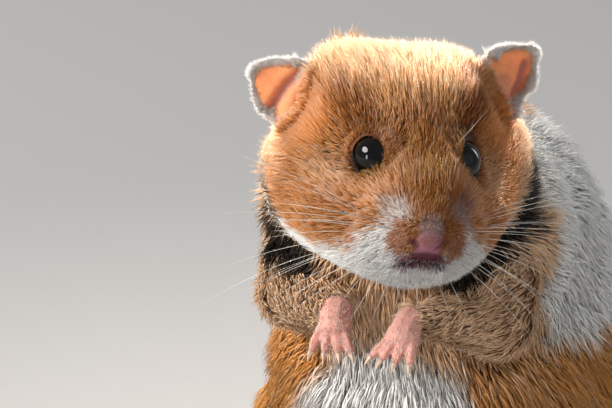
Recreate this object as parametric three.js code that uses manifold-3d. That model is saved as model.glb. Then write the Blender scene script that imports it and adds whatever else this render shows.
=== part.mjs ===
// A Syrian hamster sitting up on its haunches, life size, in millimetres.
// It faces -Y, its left side is +X, and its rump and hind soles rest on the floor at z = 0.
// The outline is that of the coat's tips. One blended outline is modelled whole, and flat
// cuts part it into head, neck, chest and trunk. Limbs, ears and eyes are let into those.
import * as THREE from "three";
import Module from "manifold-3d";
import { mergeVertices } from "three/addons/utils/BufferGeometryUtils.js";

const wasm = await Module();
wasm.setup();

// ---- Driving dimensions --------------------------------------------------------------

const GAP = 0.3; // clear space between neighbouring solids
const CUT_BLOCK = 400; // side of the blocks that make the flat cuts

const BODY_HALF_WIDTH = 30.5; // across the rump
const HEAD_HALF_WIDTH = 19.1; // across the full cheeks
const BODY_BLEND = 7; // how softly the lumps of the body run into each other
const HEAD_BLEND = 4; // the same on the head, where the forms are smaller

const EYES_MIDDLE = new THREE.Vector3(12, -42, 84); // the point midway between the eyes
const HEAD_TURN = 34; // degrees to the animal's left
const HEAD_NOD = 20; // degrees nose down
const HEAD_TILT = 9; // degrees left side down

const EYE_RADIUS = 3.3;
const EYE_PLACE = [6.3, 0.1, -0.6]; // the left eye's centre, in the head's own frame
const NOSE_PLACE = [0, -11.6, -5.6];
const NOSE_RADII = [2.5, 1.9, 2.2];

const EAR_LENGTH = 14.3;
const EAR_WIDTH = 13;
const EAR_THICKNESS = 1.1;
// How each ear is carried, in the head's own frame, with +X outwards on both sides: the
// left one is raised, and the right one lies lower and further out.
const EAR_CARRIAGE = {
  left: { root: [12, 11.4, -1.4], length: [0.62, 0.4, 0.68], hollow: [0.18, -0.8, 0.52] },
  right: { root: [10.7, 10.4, -4], length: [0.76, 0.58, 0.24], hollow: [0.5, -0.7, 0.5] },
};

const ELBOW_RADIUS = 6;
const WRIST_RADIUS = 2.6;
const FINGER_RADIUS = 0.8;
const FINGER_LENGTH = 3.2;
const HAUNCH_RADII = [12.6, 18, 16];
const SOLE_LENGTH = 14;
const TOE_RADIUS = 1.15;
const TOE_LENGTH = 5.6;
const CLAW_LENGTH = 1.7;
const CLAW_RADIUS = 0.45;
const TAIL_LENGTH = 9;

// ---- Materials -----------------------------------------------------------------------

function finish(color, roughness) {
  return new THREE.MeshStandardMaterial({ color, roughness, metalness: 0 });
}

const goldenFur = finish("#bd7f45", 0.9);
const whiteFur = finish("#e9e3da", 0.9);
const pinkSkin = finish("#cf9a8d", 0.6);
const earSkin = finish("#b98472", 0.6);
const eyeBlack = finish("#120d0c", 0.08);
const clawHorn = finish("#d9c7b4", 0.45);

// ---- Points, solids and cuts ---------------------------------------------------------

const UP = new THREE.Vector3(0, 0, 1);
const LONG_WAY = new THREE.Vector3(0, 1, 0); // three.js round shapes stand along this
const SIDES = { left: 1, right: -1 };

const bodyPose = new THREE.Matrix4();
const headPose = new THREE.Matrix4()
  .makeRotationFromEuler(
    new THREE.Euler(
      THREE.MathUtils.degToRad(HEAD_NOD),
      THREE.MathUtils.degToRad(HEAD_TILT),
      THREE.MathUtils.degToRad(HEAD_TURN),
      "ZXY",
    ),
  )
  .setPosition(EYES_MIDDLE);

function point(x, y, z) {
  return new THREE.Vector3(x, y, z);
}

// A direction given in the frame of a pose.
function direction(x, y, z, pose = bodyPose) {
  return point(x, y, z).transformDirection(pose);
}

function solid(geometry) {
  const bare = geometry.clone();
  bare.deleteAttribute("normal");
  bare.deleteAttribute("uv");
  const merged = mergeVertices(bare, 1e-4);
  return new wasm.Manifold(
    new wasm.Mesh({
      numProp: 3,
      vertProperties: merged.attributes.position.array,
      triVerts: new Uint32Array(merged.index.array),
    }),
  );
}

function union(shapes) {
  return shapes.reduce((a, b) => a.add(b));
}

// The biggest body of a solid that a cut may have left in several.
function biggest(shape) {
  return shape.decompose().reduce((a, b) => (a.volume() > b.volume() ? a : b));
}

// Everything on the side of a plane that its normal points to, starting `inset` beyond it.
function beyond(place, normal, inset) {
  const block = new THREE.BoxGeometry(CUT_BLOCK, CUT_BLOCK, CUT_BLOCK);
  block.translate(0, 0, CUT_BLOCK / 2 + inset);
  block.applyQuaternion(new THREE.Quaternion().setFromUnitVectors(UP, normal));
  return solid(block.translate(...place));
}

// ---- The blended outline -------------------------------------------------------------

// One lump: an ellipsoid at `centre` with `radii`, both in the frame of `pose`.
function lump(centre, radii, pose = bodyPose) {
  return {
    centre: point(...centre).applyMatrix4(pose),
    radii: point(...radii),
    unturn: new THREE.Quaternion().setFromRotationMatrix(pose).invert(),
  };
}

function pair([x, y, z], radii, pose) {
  return [lump([x, y, z], radii, pose), lump([-x, y, z], radii, pose)];
}

// Distance to a lump's surface, negative inside, true close to the surface.
function distance(place, { centre, radii, unturn }) {
  const p = place.clone().sub(centre).applyQuaternion(unturn).divide(radii);
  const near = p.length();
  const steep = p.divide(radii).length();
  return steep < 1e-6 ? -radii.x : (near * (near - 1)) / steep;
}

function soften(a, b, blend) {
  const overlap = Math.max(blend - Math.abs(a - b), 0) / blend;
  return Math.min(a, b) - (overlap * overlap * blend) / 4;
}

function blendOf(lumps, blend) {
  return (place) =>
    lumps.reduce((nearest, one) => soften(nearest, distance(place, one), blend), 1e3);
}

const torso = blendOf(
  [
    lump([0, 19, 24], [BODY_HALF_WIDTH, 26, 26]), // rump
    lump([0, 1, 31], [27, 24, 25]), // belly
    lump([0, 12, 44], [27.5, 26, 34]), // hunched back
    lump([-1, -7, 62], [25.4, 19, 20.5]), // chest and shoulders
    lump([0.6, -18, 77], [20.4, 16, 15.6]), // neck
  ],
  BODY_BLEND,
);

const skull = blendOf(
  [
    lump([0, 11.5, -2.4], [11, 13, 11], headPose), // crown
    ...pair([5.2, 13, -3.2], [9.2, 12.2, 10.6], headPose), // temples
    ...pair([7.4, 13.5, 1.5], [5.8, 9, 6], headPose), // the crown's corners
    lump([0, 0, -2.6], [8.4, 10.5, 6.4], headPose), // forehead and bridge
    lump([0, -5.2, -7.6], [7.4, 7.6, 6.4], headPose), // muzzle
    ...pair([4.2, -6.3, -9.8], [4.6, 5.2, 4.6], headPose), // whisker pads
    lump([0, -3.2, -13], [7.4, 8, 4.6], headPose), // lower jaw
    ...pair([6.6, 0.5, -10], [7.8, 10, 7.8], headPose), // sides of the face
    ...pair([8.6, 7.8, -11], [HEAD_HALF_WIDTH - 8.6, 12.4, 9.8], headPose), // cheeks
  ],
  HEAD_BLEND,
);

function outline(place) {
  return soften(skull(place), torso(place), BODY_BLEND);
}

// A ball round `centre` whose every point is moved out to where the outline, or a surface
// `clear` outside it, is met, but no further than `reach`. Its poles lie along `pole`.
function wrap(centre, pole, rings, reach, clear = 0) {
  const ball = new THREE.SphereGeometry(1, Math.round(rings * 1.5), rings);
  ball.applyQuaternion(new THREE.Quaternion().setFromUnitVectors(LONG_WAY, pole));
  const spots = ball.attributes.position;
  const way = new THREE.Vector3();
  const at = new THREE.Vector3();
  for (let i = 0; i < spots.count; i++) {
    way.fromBufferAttribute(spots, i).normalize();
    const outside = (far) => outline(at.copy(centre).addScaledVector(way, far)) > clear;
    let inner = 0;
    while (inner < reach && !outside(inner + 1)) inner += 1;
    let outer = inner + 1;
    for (let halving = 0; halving < 12; halving++) {
      const middle = (inner + outer) / 2;
      if (outside(middle)) outer = middle;
      else inner = middle;
    }
    at.copy(centre).addScaledVector(way, Math.min(inner, reach));
    spots.setXYZ(i, at.x, at.y, at.z);
  }
  return solid(ball);
}

// ---- Round pieces that are let into the body -----------------------------------------

function ellipsoid(centre, radii, rings, grow = 0, pose = bodyPose) {
  const ball = new THREE.SphereGeometry(1, Math.round(rings * 1.5), rings);
  ball.scale(...radii.map((r) => r + grow)).translate(...centre);
  return solid(ball.applyMatrix4(pose));
}

// A rod with round ends that runs from one point and radius to another.
function rod(from, to, fromRadius, toRadius, sides, grow = 0) {
  const steps = sides > 8 ? 3 : 2;
  const profile = [];
  const addEnd = (height, radius, startAngle) => {
    for (let i = 0; i <= steps; i++) {
      const angle = startAngle + (Math.PI / 2) * (i / steps);
      const x = Math.max(radius * Math.cos(angle), 0);
      profile.push(new THREE.Vector2(x < 1e-6 ? 0 : x, height + radius * Math.sin(angle)));
    }
  };
  addEnd(0, fromRadius + grow, -Math.PI / 2);
  addEnd(from.distanceTo(to), toRadius + grow, 0);
  const turned = new THREE.LatheGeometry(profile, sides);
  const way = to.clone().sub(from).normalize();
  turned.applyQuaternion(new THREE.Quaternion().setFromUnitVectors(LONG_WAY, way));
  return solid(turned.translate(...from));
}

// A curved claw that starts a gap beyond a digit's tip and hooks down.
function claw(name, tip, way) {
  const peg = new THREE.ConeGeometry(CLAW_RADIUS, CLAW_LENGTH, 5, 2);
  peg.translate(0, CLAW_LENGTH / 2, 0);
  const spots = peg.attributes.position;
  for (let i = 0; i < spots.count; i++) {
    const far = spots.getY(i) / CLAW_LENGTH;
    spots.setZ(i, spots.getZ(i) - 0.45 * far * far);
  }
  const across = way.clone().cross(UP).normalize();
  const above = across.clone().cross(way);
  const pose = new THREE.Matrix4().makeBasis(across, way, above);
  pose.setPosition(tip.clone().addScaledVector(way, GAP));
  addPart(name, solid(peg.applyMatrix4(pose)), clawHorn);
}

// ---- The group -----------------------------------------------------------------------

const hamster = new THREE.Group();

function addPart(name, shape, material) {
  const mesh = biggest(shape).getMesh();
  const geometry = new THREE.BufferGeometry();
  geometry.setAttribute("position", new THREE.BufferAttribute(mesh.vertProperties, 3));
  geometry.setIndex(new THREE.BufferAttribute(mesh.triVerts, 1));
  geometry.computeVertexNormals();
  const part = new THREE.Mesh(geometry, material);
  part.name = name;
  hamster.add(part);
}

const onFloor = beyond(point(0, 0, 0), UP, 0);
const limbRoom = []; // what the limbs and the tail take out of the body, gap included

// ---- Hind feet: long soles flat on the floor, with five toes that fan out ------------

for (const [side, sign] of Object.entries(SIDES)) {
  const heel = point(sign * 20.5, -4, 2.8);
  const ball = point(sign * 22.5, -4 - SOLE_LENGTH, 2.1);
  const toes = [-2, -1, 0, 1, 2].map((place) => {
    const spread = THREE.MathUtils.degToRad(9 * place + 6) * sign;
    const length = TOE_LENGTH - 0.55 * place * place;
    const start = point(ball.x + sign * 1.35 * place, ball.y + 1, 1.2);
    const end = point(
      start.x + Math.sin(spread) * length,
      start.y - Math.cos(spread) * length,
      TOE_RADIUS - 0.25,
    );
    return { start, end, way: end.clone().sub(start).setZ(0).normalize() };
  });
  const foot = (grow) =>
    union([
      rod(heel, ball, 3.6, 2.7, 8, grow),
      ellipsoid([ball.x, ball.y, 1.8], [4, 3.6, 2.4], 6, grow),
      ...toes.map(({ start, end }) => rod(start, end, 1.45, TOE_RADIUS, 5, grow)),
    ]);
  addPart(`${side}_hind_foot`, foot(0).intersect(onFloor), pinkSkin);
  limbRoom.push(foot(GAP));
  toes.forEach(({ end, way }, i) => {
    const tip = end.clone().addScaledVector(way, TOE_RADIUS).setZ(TOE_RADIUS + 0.1);
    claw(`${side}_hind_claw_${i + 1}`, tip, way);
  });
}

// ---- Haunches: the folded thighs, full and round at the sides ------------------------

const feetRoom = union(limbRoom);

for (const [side, sign] of Object.entries(SIDES)) {
  const centre = [sign * 18.4, 3, 18];
  const haunch = ellipsoid(centre, HAUNCH_RADII, 10).subtract(feetRoom);
  addPart(`${side}_thigh`, haunch, goldenFur);
  limbRoom.push(ellipsoid(centre, HAUNCH_RADII, 10, GAP));
}

// ---- Forelegs and forepaws, held up in front of the chest ----------------------------

for (const [side, sign] of Object.entries(SIDES)) {
  const shoulder = point(sign * 15, -11, 62);
  const elbow = point(sign * 17.2, -17.5, 50.5);
  const wrist = point(sign * 6.2 + 1.5, -31, 54);
  const along = wrist.clone().sub(elbow).normalize();
  const paw = wrist.clone().add(point(sign * -0.7 + 0.3, -3.2, -1.4));
  const fingers = [-1.5, -0.5, 0.5, 1.5].map((place) => {
    const start = paw.clone().add(point(sign * 1.25 * place, -1.2, -0.4 * Math.abs(place)));
    const way = point(sign * (0.26 * place - 0.25), -0.72, -0.66).normalize();
    const length = FINGER_LENGTH - 0.35 * Math.abs(place);
    return { way, start, end: start.clone().addScaledVector(way, length) };
  });
  const leg = (grow) =>
    rod(shoulder, elbow, ELBOW_RADIUS + 1.5, ELBOW_RADIUS, 9, grow).add(
      rod(elbow, wrist, ELBOW_RADIUS, WRIST_RADIUS, 9, grow),
    );
  const hand = (grow) =>
    union([
      rod(wrist, paw, WRIST_RADIUS, 2.4, 8, grow),
      ellipsoid(paw.toArray(), [2.8, 2.6, 2], 6, grow),
      ...fingers.map(({ start, end }) =>
        rod(start, end, FINGER_RADIUS + 0.15, FINGER_RADIUS, 5, grow),
      ),
    ]);
  const legAlone = leg(0).subtract(beyond(wrist, along, -GAP / 2));
  const handAlone = hand(0).intersect(beyond(wrist, along, GAP / 2));
  addPart(`${side}_foreleg`, legAlone, goldenFur);
  addPart(`${side}_forepaw`, handAlone, pinkSkin);
  limbRoom.push(leg(GAP).subtract(beyond(wrist, along, 1)), hand(GAP));
  fingers.forEach(({ end, way }, i) => {
    claw(`${side}_fore_claw_${i + 1}`, end.clone().addScaledVector(way, FINGER_RADIUS), way);
  });
}

// ---- Tail: a short bare stub that clears the floor -----------------------------------

const tailRoot = point(0, 41, 7);
const tailTip = tailRoot.clone().add(direction(0.1, 0.98, 0.12).setLength(TAIL_LENGTH));
addPart("tail", rod(tailRoot, tailTip, 2.1, 1, 10), pinkSkin);
limbRoom.push(rod(tailRoot, tailTip, 2.1, 1, 10, GAP));

// ---- Trunk, chest, neck and head, parted by flat cuts --------------------------------

// Each cut has a place on it and the direction that it faces, towards the nose.
const waist = { place: point(0, -2, 50), facing: direction(0, -0.42, 0.91) };
const shoulders = { place: point(0, -13, 72), facing: direction(0.12, -0.6, 0.79) };
const occiput = {
  place: point(0, 22, 4).applyMatrix4(headPose),
  facing: direction(0, -0.92, 0.39, headPose),
};
const throat = {
  place: point(0, 0, -18.4).applyMatrix4(headPose),
  facing: direction(0, 0, 1, headPose),
};

function ahead(cut, inset) {
  return beyond(cut.place, cut.facing, inset);
}

const noseWay = direction(0, -1, 0, headPose);
const limbs = union(limbRoom);
const headRoom = ahead(occiput, -GAP / 2).intersect(ahead(throat, -GAP / 2));

const trunk = wrap(point(0, 10, 38), UP, 16, 60)
  .intersect(onFloor)
  .subtract(ahead(waist, -GAP / 2))
  .subtract(limbs);
addPart("trunk", trunk, goldenFur);

const chest = wrap(point(0, -4, 60), UP, 13, 50)
  .intersect(ahead(waist, GAP / 2))
  .subtract(ahead(shoulders, -GAP / 2))
  .subtract(headRoom)
  .subtract(limbs);
addPart("chest", chest, whiteFur);

const neck = wrap(point(1, -20, 78), noseWay, 14, 36)
  .intersect(ahead(shoulders, GAP / 2))
  .subtract(headRoom)
  .subtract(limbs);
addPart("neck", neck, goldenFur);

// ---- Eyes and nose, and the head with a socket for each of them ----------------------

const EYE_RINGS = 9;
const NOSE_RINGS = 8;

function eyeball(sign, radius) {
  const [x, y, z] = EYE_PLACE;
  return ellipsoid([sign * x, y, z], [radius, radius, radius], EYE_RINGS, 0, headPose);
}

for (const [side, sign] of Object.entries(SIDES)) {
  addPart(`${side}_eye`, eyeball(sign, EYE_RADIUS), eyeBlack);
}
addPart("nose", ellipsoid(NOSE_PLACE, NOSE_RADII, NOSE_RINGS, 0, headPose), pinkSkin);

const head = wrap(point(0, 7, -6).applyMatrix4(headPose), noseWay, 22, 32)
  .intersect(ahead(occiput, GAP / 2))
  .intersect(ahead(throat, GAP / 2))
  .subtract(limbs)
  .subtract(eyeball(SIDES.left, EYE_RADIUS + GAP))
  .subtract(eyeball(SIDES.right, EYE_RADIUS + GAP))
  .subtract(ellipsoid(NOSE_PLACE, NOSE_RADII, NOSE_RINGS, GAP, headPose));
addPart("head", head, goldenFur);

// ---- Ears: thin cupped leaves, laid back and out, with the outer edge nicked ---------

// An ear leaf with its root at the origin, its length along Z and its hollow towards -Y.
function earLeaf() {
  const leaf = new THREE.SphereGeometry(1, 18, 12);
  const spots = leaf.attributes.position;
  for (let i = 0; i < spots.count; i++) {
    const along = (spots.getY(i) + 1) / 2; // 0 at the root, 1 at the tip
    const outer = spots.getX(i) > 0; // the outer edge stands nearer the middle at the root
    const breadth = outer ? 0.92 - 0.52 * along : 1.42 - along;
    const across = spots.getX(i) * breadth - 0.14 * along;
    const nick = 0.22 * Math.max(across, 0) * Math.exp(-(((along - 0.48) / 0.1) ** 2));
    const curl = Math.max(along - 0.6, 0) ** 2;
    const cup = 2.4 * across * across - 7 * nick + 6 * curl;
    spots.setXYZ(
      i,
      (across - nick) * (EAR_WIDTH / 2),
      -spots.getZ(i) * (EAR_THICKNESS / 2) - cup,
      along * EAR_LENGTH - 5 * curl,
    );
  }
  return leaf;
}

// Swaps left and right, and turns the faces outwards again.
function mirror(geometry) {
  geometry.scale(-1, 1, 1);
  const corners = geometry.index.array;
  for (let i = 0; i < corners.length; i += 3) {
    [corners[i + 1], corners[i + 2]] = [corners[i + 2], corners[i + 1]];
  }
}

const headAndGap = wrap(point(0, 9, -5).applyMatrix4(headPose), noseWay, 24, 40, GAP);

for (const [side, sign] of Object.entries(SIDES)) {
  const { root, length, hollow } = EAR_CARRIAGE[side];
  const tipWay = direction(...length);
  const across = direction(...hollow).negate().cross(tipWay).normalize();
  const back = tipWay.clone().cross(across);
  const pose = new THREE.Matrix4().makeBasis(across, back, tipWay);
  const leaf = earLeaf().applyMatrix4(pose.setPosition(...root));
  if (sign < 0) mirror(leaf);
  addPart(`${side}_ear`, solid(leaf.applyMatrix4(headPose)).subtract(headAndGap), earSkin);
}

// The origin is under the middle of the whole animal, on the floor.
const middle = new THREE.Box3().setFromObject(hamster).getCenter(new THREE.Vector3());
hamster.position.set(-middle.x, -middle.y, 0);

export default hamster;
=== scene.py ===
import math

import bmesh
import bpy
import numpy as np
from mathutils import Euler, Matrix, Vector
from mathutils.bvhtree import BVHTree
from mathutils.kdtree import KDTree


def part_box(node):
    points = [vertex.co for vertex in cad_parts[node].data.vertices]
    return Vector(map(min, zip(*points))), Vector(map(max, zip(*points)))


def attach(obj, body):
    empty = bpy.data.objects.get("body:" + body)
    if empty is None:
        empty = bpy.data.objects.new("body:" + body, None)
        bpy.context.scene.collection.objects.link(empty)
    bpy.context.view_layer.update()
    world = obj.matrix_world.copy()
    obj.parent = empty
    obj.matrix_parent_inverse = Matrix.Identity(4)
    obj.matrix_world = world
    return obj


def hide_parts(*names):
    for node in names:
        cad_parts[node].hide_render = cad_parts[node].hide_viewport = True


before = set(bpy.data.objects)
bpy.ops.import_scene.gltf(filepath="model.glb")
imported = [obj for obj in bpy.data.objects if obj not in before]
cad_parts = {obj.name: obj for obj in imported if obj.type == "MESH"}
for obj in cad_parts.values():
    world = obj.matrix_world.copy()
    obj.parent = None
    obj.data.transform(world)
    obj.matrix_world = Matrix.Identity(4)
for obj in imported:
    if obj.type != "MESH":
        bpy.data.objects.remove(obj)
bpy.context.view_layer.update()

MM = 0.001


# THE CARRIAGE OF THE HEAD. It is turned to the animal's left, nodded down and tilted a little.
# In the head's own axes x runs to the animal's left, y to the back of the skull and z to the
# crown, in mm from the middle between the eyes, so that both sides of the face share one recipe.
HEAD_TURN, HEAD_NOD, HEAD_TILT = 34, 20, 9


def middle(node):
    """The middle of a solid's box, in mm."""
    low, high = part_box(node)
    return np.array(low + high) / 2 / MM


def unit(vectors):
    """The same directions, each one long."""
    return vectors / np.maximum(np.linalg.norm(vectors, axis=-1, keepdims=True), 1e-9)


turn = Euler([math.radians(a) for a in (HEAD_NOD, HEAD_TILT, HEAD_TURN)], "YXZ")
head_axes = np.array(turn.to_matrix())
between_eyes = (middle("left_eye") + middle("right_eye")) / 2


def in_head(places):
    """These places in the head's own axes."""
    return (places - between_eyes) @ head_axes


def out_of_head(places):
    """Places in the head's own axes, as places in the model."""
    return np.asarray(places, float) @ head_axes.T + between_eyes


# THE HIDE, WITH ITS LIDS. On a mount one tanned skin covers the whole animal without a seam.
# Here the solids of flesh are swelled until the parting gaps close, joined with a rolled rim of
# lid round each eye, fused into one closed mesh, smoothed, and drawn in by the depth of the coat.
# The paws and ears are fused on a finer grain, which keeps their digits and edges apart.
SWELL, HEAD_SWELL, PAW_SWELL = 0.34, 0.22, 0.03
HIDE_GRAIN, FINE_GRAIN = 0.45, 0.24
EYE_RADIUS = 3.3
EYES = {side: middle(side + "_eye") for side in ("left", "right")}
# In the head's own axes on its left side: the eyeball's middle, the way it looks, and square to
# that the ways towards the nose and the brow.
EYE_PLACE = np.array([6.3, 0, 0])
GAZE_WAY, NOSE_WAY, BROW_WAY = unit(np.array([
    (0.745, -0.55, 0.38), (-0.667, -0.574, 0.476), (0.045, 0.606, 0.794)]))
# A lid's roll, the height of its edge off the ball, and how far out its skin is shaped, in mm.
LID_ROLL, LID_EDGE, LID_REACH = 0.34, 0.13, 3.0
LIDS_OPEN = 41.5        # degrees from the way the eye looks to the edge of a lid

flesh = sorted(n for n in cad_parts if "claw" not in n and "eye" not in n)


def normals_of(points, triangles):
    """The outward direction at each point, each triangle counting by its area."""
    a, b, c = (points[triangles[:, k]] for k in range(3))
    facing = np.cross(b - a, c - a)
    total = np.zeros_like(points)
    for k in range(3):
        for axis in range(3):
            total[:, axis] += np.bincount(triangles[:, k], facing[:, axis], len(points))
    return unit(total)


def solid_of(node):
    """A CAD solid's corners in mm, each held once, and its triangles."""
    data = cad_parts[node].data
    corners = np.empty(len(data.vertices) * 3)
    data.vertices.foreach_get("co", corners)
    triangles = np.empty(len(data.loops), int)
    data.loops.foreach_get("vertex_index", triangles)
    corners = corners.reshape(-1, 3) / MM
    _, first, back = np.unique(np.round(corners, 3), axis=0, return_index=True, return_inverse=True)
    return corners[first], back.ravel()[triangles].reshape(-1, 3)


def between_rings(rings, around, closed=False):
    """The triangles between rings of points in order, and from the last to the first if closed."""
    i, j = np.meshgrid(np.arange(rings if closed else rings - 1), np.arange(around), indexing="ij")
    a, b = i * around + j, i * around + (j + 1) % around
    c, d = (i + 1) % rings * around + (j + 1) % around, (i + 1) % rings * around + j
    return np.stack([np.stack([a, b, c], -1), np.stack([a, c, d], -1)]).reshape(-1, 3)


def opening(spokes, is_left):
    """How wide the lids stand open along these spokes, square to the gaze, in degrees: the left
    eye looks forward a little more, and so is open wider towards the nose."""
    toward, above = spokes @ NOSE_WAY, spokes @ BROW_WAY
    off_tear_corner = np.degrees(np.arctan2(above, toward)) + 60
    forward = np.where(is_left, 15, 3)
    raised = np.where(is_left, 13, 0) * above * np.abs(above)
    wider = LIDS_OPEN + forward * np.clip(toward, 0, 1) ** 2 + 8 * above ** 2 + raised
    return wider + 6 * np.exp(-(off_tear_corner / 18) ** 2)


def mirrored(head):
    """Places in the head's axes, with those of its right side brought over to its left."""
    return np.column_stack([np.abs(head[:, 0]), head[:, 1:]])


def round_eye(head):
    """How far each place is from its eyeball's middle, its spoke, and its degrees past the lids."""
    away = mirrored(head) - EYE_PLACE
    far = np.linalg.norm(away, axis=1)
    facing = away @ GAZE_WAY / far
    spokes = unit(away - (facing * far)[:, None] * GAZE_WAY)
    angle = np.degrees(np.arccos(np.clip(facing, -1, 1)))
    return far, spokes, angle - opening(spokes, head[:, 0] > 0)


def from_eye(far, spokes, past, is_left):
    """The opposite of round_eye: places from distances, spokes and degrees past the lids."""
    angle = np.radians(past + opening(spokes, is_left))[:, None]
    place = EYE_PLACE + far[:, None] * (np.cos(angle) * GAZE_WAY + np.sin(angle) * spokes)
    place[:, 0] *= np.where(is_left, 1, -1)
    return place


def lid_rim(sign):
    """A rolled rim that lies on the eyeball round its opening."""
    rows, columns = 48, 10
    across = np.cross(GAZE_WAY, NOSE_WAY)
    round_about, section = np.meshgrid(
        np.linspace(0, 2 * math.pi, rows, endpoint=False),
        np.linspace(0, 2 * math.pi, columns, endpoint=False), indexing="ij")
    round_about, section = round_about.ravel(), section.ravel()
    spokes = np.cos(round_about)[:, None] * NOSE_WAY + np.sin(round_about)[:, None] * across
    reach = EYE_RADIUS + 0.1 + LID_ROLL * np.cos(section)
    past = 6.5 + np.degrees(LID_ROLL * np.sin(section) / EYE_RADIUS)
    places = from_eye(reach, spokes, past, np.full(len(spokes), sign > 0))
    return out_of_head(places), between_rings(rows, columns, closed=True)[:, ::sign]


def mesh_of(name, points, triangles, smooth=True):
    """A Blender mesh from points in mm and triangles."""
    mesh = bpy.data.meshes.new(name)
    mesh.vertices.add(len(points))
    mesh.vertices.foreach_set("co", (points * MM).astype(np.float32).ravel())
    mesh.loops.add(3 * len(triangles))
    mesh.loops.foreach_set("vertex_index", triangles.astype(np.int32).ravel())
    mesh.polygons.add(len(triangles))
    mesh.polygons.foreach_set("loop_start", np.arange(0, 3 * len(triangles), 3, dtype=np.int32))
    mesh.polygons.foreach_set("use_smooth", np.full(len(triangles), smooth))
    mesh.update(calc_edges=True)
    return mesh


def swell_of(node):
    """How far a solid is swelled before the fusing, in mm."""
    if "paw" in node or "foot" in node:
        return PAW_SWELL
    return HEAD_SWELL if node in ("head", "nose") or "ear" in node else SWELL


def joined(parts):
    """Several shells as one list of points, one of triangles, and which shell each is from."""
    starts = np.cumsum([0] + [len(points) for points, _ in parts[:-1]])
    points = np.concatenate([points for points, _ in parts])
    triangles = np.concatenate([t + s for (_, t), s in zip(parts, starts)])
    origin = np.repeat(np.arange(len(parts)), [len(t) for _, t in parts])
    return points, triangles, origin


def fused_shell(name, parts, grain):
    """A scene object that fuses overlapping shells into one closed, evenly cut surface."""
    points, triangles, _ = joined(parts)
    thing = bpy.data.objects.new(name, mesh_of(name, points, triangles))
    bpy.context.scene.collection.objects.link(thing)
    fuse = thing.modifiers.new("fuse", "REMESH")
    fuse.mode = "VOXEL"
    fuse.voxel_size = grain * MM
    return thing


cad_skin = [solid_of(node) for node in flesh]
swelled = [(spots + normals_of(spots, triangles) * swell_of(node), triangles)
           for node, (spots, triangles) in zip(flesh, cad_skin)]
is_fine = ["paw" in node or "foot" in node or "ear" in node for node in flesh]
coarse_parts = [shell for shell, fine in zip(swelled, is_fine) if not fine]
fine_parts = [shell for shell, fine in zip(swelled, is_fine) if fine]
body = fused_shell("body", coarse_parts + [lid_rim(1), lid_rim(-1)], HIDE_GRAIN)
ends = fused_shell("ends", fine_parts, FINE_GRAIN)
sew = body.modifiers.new("sew", "BOOLEAN")
sew.operation, sew.solver, sew.object = "UNION", "EXACT", ends
seen = body.evaluated_get(bpy.context.evaluated_depsgraph_get())
fused = bmesh.new()
fused.from_mesh(seen.to_mesh())
bpy.data.objects.remove(body)
bpy.data.objects.remove(ends)

# The face carries the finest folds, so its mesh is cut once more.
fused.faces.ensure_lookup_table()
spots = in_head(np.array([f.calc_center_median() for f in fused.faces]) / MM)
near_eye = np.linalg.norm(mirrored(spots) - EYE_PLACE, axis=1) < 5.4
near_nose = np.linalg.norm(spots - [0, -11.5, -6.5], axis=1) < 6.6
fine = {edge for k in np.nonzero(near_eye | near_nose)[0] for edge in fused.faces[k].edges}
bmesh.ops.subdivide_edges(fused, edges=list(fine), cuts=1, use_grid_fill=True)
bmesh.ops.triangulate(fused, faces=fused.faces[:])
fused.verts.index_update()
points = np.array([v.co for v in fused.verts]) / MM
hide_triangles = np.array([[v.index for v in f.verts] for f in fused.faces])
edges = np.array([[v.index for v in e.verts] for e in fused.edges])
fused.free()


def spread(values, rounds, share=0.5):
    """Evens values out: each round draws a point of the hide towards the mean of its neighbours."""
    values = np.array(values, float)
    flat = values.reshape(len(points), -1)
    ends = np.concatenate([edges[:, 0], edges[:, 1]])
    others = np.concatenate([edges[:, 1], edges[:, 0]])
    count = np.bincount(ends, minlength=len(points))
    weight = np.broadcast_to(np.asarray(share, float).reshape(-1, 1), (len(points), 1))
    for _ in range(rounds):
        total = [np.bincount(ends, flat[others, k], len(points)) for k in range(flat.shape[1])]
        flat = flat + (np.stack(total, 1) / count[:, None] - flat) * weight
    return flat.reshape(values.shape)


# Each place on the hide belongs to the solid next to it, which says how the coat grows there.
cad_points, cad_triangles, cad_origin = joined(cad_skin)
tree = BVHTree.FromPolygons(cad_points.tolist(), cad_triangles.tolist())
owner = np.array([cad_origin[tree.find_nearest(p)[2]] for p in points.tolist()])
node_number = {node: k for k, node in enumerate(flesh)}


def part_of(*names):
    """1 where the hide belongs to a solid with one of these names in its own, else 0."""
    wanted = [k for node, k in node_number.items() if any(name in node for name in names)]
    return np.isin(owner, wanted).astype(float)


# Coat by part: depth it stands to, length of its hair, width of a tuft, in mm, and the lift of
# a hair's root and of its tip from the skin, in degrees.
COAT = {
    "head": (1.1, 3.1, 0.15, 32, 10),
    "nose": (0.05, 0.5, 0.10, 20, 10),
    "ear": (0.12, 1.2, 0.10, 24, 12),
    "neck": (3.0, 6.0, 0.30, 30, 6),
    "chest": (2.8, 7.2, 0.30, 31, 10),
    "trunk": (3.0, 8.2, 0.32, 29, 9),
    "tail": (0.3, 1.6, 0.16, 24, 10),
    "thigh": (2.0, 6.0, 0.28, 28, 9),
    "foreleg": (1.2, 3.6, 0.24, 30, 10),
    "forepaw": (0.0, 0.8, 0.09, 20, 8),
    "hind_foot": (0.0, 0.9, 0.10, 20, 8),
}
traits = np.zeros((len(flesh), 6))
for node, k in node_number.items():
    traits[k] = (*next(COAT[name] for name in COAT if name in node), swell_of(node))
depth, length, width, root_lift, tip_lift, swelled_by = spread(traits[owner], 14).T

head_spots = in_head(points)
sided = mirrored(head_spots)
eye_gap = np.linalg.norm(sided - EYE_PLACE, axis=1) - EYE_RADIUS
nose_gap = np.linalg.norm(sided - [0, -12.2, -5.2], axis=1)
on_head = part_of("head", "nose", "ear")


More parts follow.
